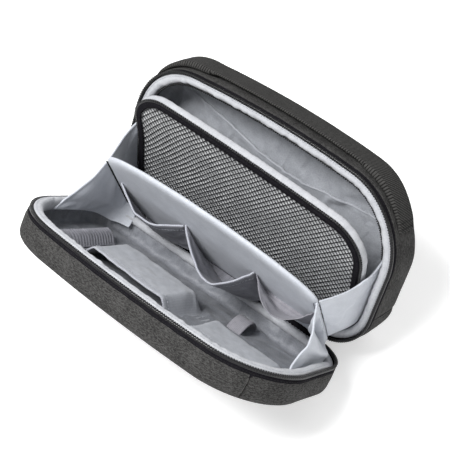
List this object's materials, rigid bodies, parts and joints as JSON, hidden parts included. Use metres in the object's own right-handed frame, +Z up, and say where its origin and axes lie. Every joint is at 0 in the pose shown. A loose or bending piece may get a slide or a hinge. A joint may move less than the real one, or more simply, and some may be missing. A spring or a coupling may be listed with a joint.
{
  "type": "cable organizer pouch",
  "caption": "Soft clamshell organiser pouch, shown open in a V: padded shells on a base hinge, end gussets, swinging divider with pockets, mesh-faced panel, webbing handle.",
  "frame": {"origin": "middle of the footprint of the open pouch, on the plane it stands on", "axes": "+X along the hinge line, to the right seen from the front shell; +Y towards the rear shell; +Z up"},
  "size_m": [0.26, 0.2218, 0.1433],
  "materials": {
    "outer_fabric": "dark heather grey woven polyester, matte, fine mottled melange",
    "zip_tape": "near-black woven zip tape, fine herringbone, matte",
    "zip_teeth": "black moulded coil teeth, satin",
    "binding": "pale silver-grey soft binding, fine knit, matte",
    "lining": "mid-grey smooth nylon lining, slight sheen, lightly creased",
    "divider_fabric": "light grey smooth nylon, slight sheen",
    "pocket_elastic": "mid-grey stretch fabric with fine ribs, matte",
    "mesh": "dark diamond mesh net, satin yarn",
    "webbing": "dark grey ribbed polyester webbing, matte",
    "foam": "white polyethylene foam padding, matte",
    "stiffener": "off-white plastic stiffener sheet, matte",
    "slider_metal": "black painted die-cast zip slider, satin",
    "pull_cord": "black moulded pull tab, matte"
  },
  "bodies": {
    "rear_shell": {"rear_face_panel": "outer_fabric", "rear_side_band": "outer_fabric", "rear_base_band": "outer_fabric", "rear_face_board": "stiffener", "rear_wall_padding": "foam", "rear_lining": "lining", "rear_zip_tape": "zip_tape", "rear_zip_chain": "zip_teeth", "rear_binding": "binding", "rear_inner_zip_tape": "zip_tape", "rear_inner_zip_chain": "zip_teeth", "rear_slip_pocket": "lining", "hinge_strip": "zip_tape", "left_rear_gusset": "divider_fabric", "right_rear_gusset": "divider_fabric"},
    "divider": {"divider_front_cover": "divider_fabric", "divider_foam_core": "foam", "divider_rear_cover": "divider_fabric", "divider_pocket_left": "pocket_elastic", "divider_pocket_centre": "pocket_elastic", "divider_elastic_strap": "pocket_elastic", "left_front_gusset": "divider_fabric", "right_front_gusset": "divider_fabric"},
    "front_shell": {"front_face_panel": "outer_fabric", "front_side_band": "outer_fabric", "front_base_band": "outer_fabric", "front_face_board": "stiffener", "front_wall_padding": "foam", "front_lining": "lining", "front_zip_tape": "zip_tape", "front_zip_chain": "zip_teeth", "front_binding": "binding", "front_pocket_left": "pocket_elastic", "front_pocket_right": "pocket_elastic", "front_gathered_elastic": "pocket_elastic", "cable_loop": "pocket_elastic"},
    "mesh_panel": {"mesh_panel_backing": "divider_fabric", "mesh_net": "mesh", "mesh_panel_tape": "zip_tape", "mesh_panel_chain": "zip_teeth", "mesh_panel_binding": "binding", "mesh_panel_foot": "divider_fabric"},
    "handle": {"handle_grip": "webbing", "handle_end_left": "webbing", "handle_end_right": "webbing"},
    "left_slider": {"left_slider": "slider_metal"},
    "left_pull": {"left_slider_pull": "pull_cord"},
    "right_slider": {"right_slider": "slider_metal"},
    "right_pull": {"right_slider_pull": "pull_cord"},
    "mesh_slider": {"mesh_slider": "slider_metal"},
    "mesh_pull": {"mesh_slider_pull": "pull_cord"}
  },
  "joints": [
    {"name": "divider_swing", "type": "hinge", "parent": "rear_shell", "child": "divider", "pos_m": [0, 0.00684, 0.01765], "axis": [-1, 0, 0], "range_deg": [0, 38.5], "deforming": ["left_rear_gusset", "right_rear_gusset", "rear_slip_pocket", "hinge_strip"]},
    {"name": "clamshell_fold", "type": "hinge", "parent": "divider", "child": "front_shell", "pos_m": [0, 0.00684, 0.01765], "axis": [-1, 0, 0], "range_deg": [0, 34.5], "deforming": ["left_front_gusset", "right_front_gusset", "divider_pocket_left", "divider_pocket_centre", "divider_elastic_strap", "front_pocket_left", "front_pocket_right", "front_gathered_elastic", "cable_loop"]},
    {"name": "mesh_panel_swing", "type": "hinge", "parent": "rear_shell", "child": "mesh_panel", "pos_m": [0, 0.02352, 0.01479], "axis": [-1, 0, 0], "range_deg": [0, 15]},
    {"name": "handle_lift", "type": "slide", "parent": "rear_shell", "child": "handle", "axis": [0, 0.4802, 0.8771], "range_m": [0, 0.012], "deforming": ["handle_end_left", "handle_end_right"]},
    {"name": "left_slider_travel", "type": "hinge", "parent": "rear_shell", "child": "left_slider", "pos_m": [-0.093, 0.02461, 0.0501], "axis": [0, 0.8771, -0.4802], "range_deg": [0, 70]},
    {"name": "right_slider_travel", "type": "hinge", "parent": "rear_shell", "child": "right_slider", "pos_m": [0.093, 0.02461, 0.0501], "axis": [0, -0.8771, 0.4802], "range_deg": [0, 70]},
    {"name": "left_pull_flip", "type": "hinge", "parent": "left_slider", "child": "left_pull", "pos_m": [-0.09724, 0.00522, 0.01469], "axis": [0, 0.8771, -0.4802], "range_deg": [0, 170]},
    {"name": "right_pull_flip", "type": "hinge", "parent": "right_slider", "child": "right_pull", "pos_m": [0.09724, 0.00522, 0.01469], "axis": [0, -0.8771, 0.4802], "range_deg": [0, 170]},
    {"name": "mesh_slider_travel", "type": "slide", "parent": "mesh_panel", "child": "mesh_slider", "axis": [0, 0.1426, 0.9898], "range_m": [0, 0.018]},
    {"name": "mesh_pull_flip", "type": "hinge", "parent": "mesh_slider", "child": "mesh_pull", "pos_m": [0.1131, 0.02473, 0.05756], "axis": [-1, 0, 0], "range_deg": [0, 150]}
  ],
  "couplings": [
    {"joint": "divider_swing", "follows": "clamshell_fold", "ratio": 1.1159},
    {"joint": "mesh_panel_swing", "follows": "clamshell_fold", "ratio": 0.43476}
  ]
}
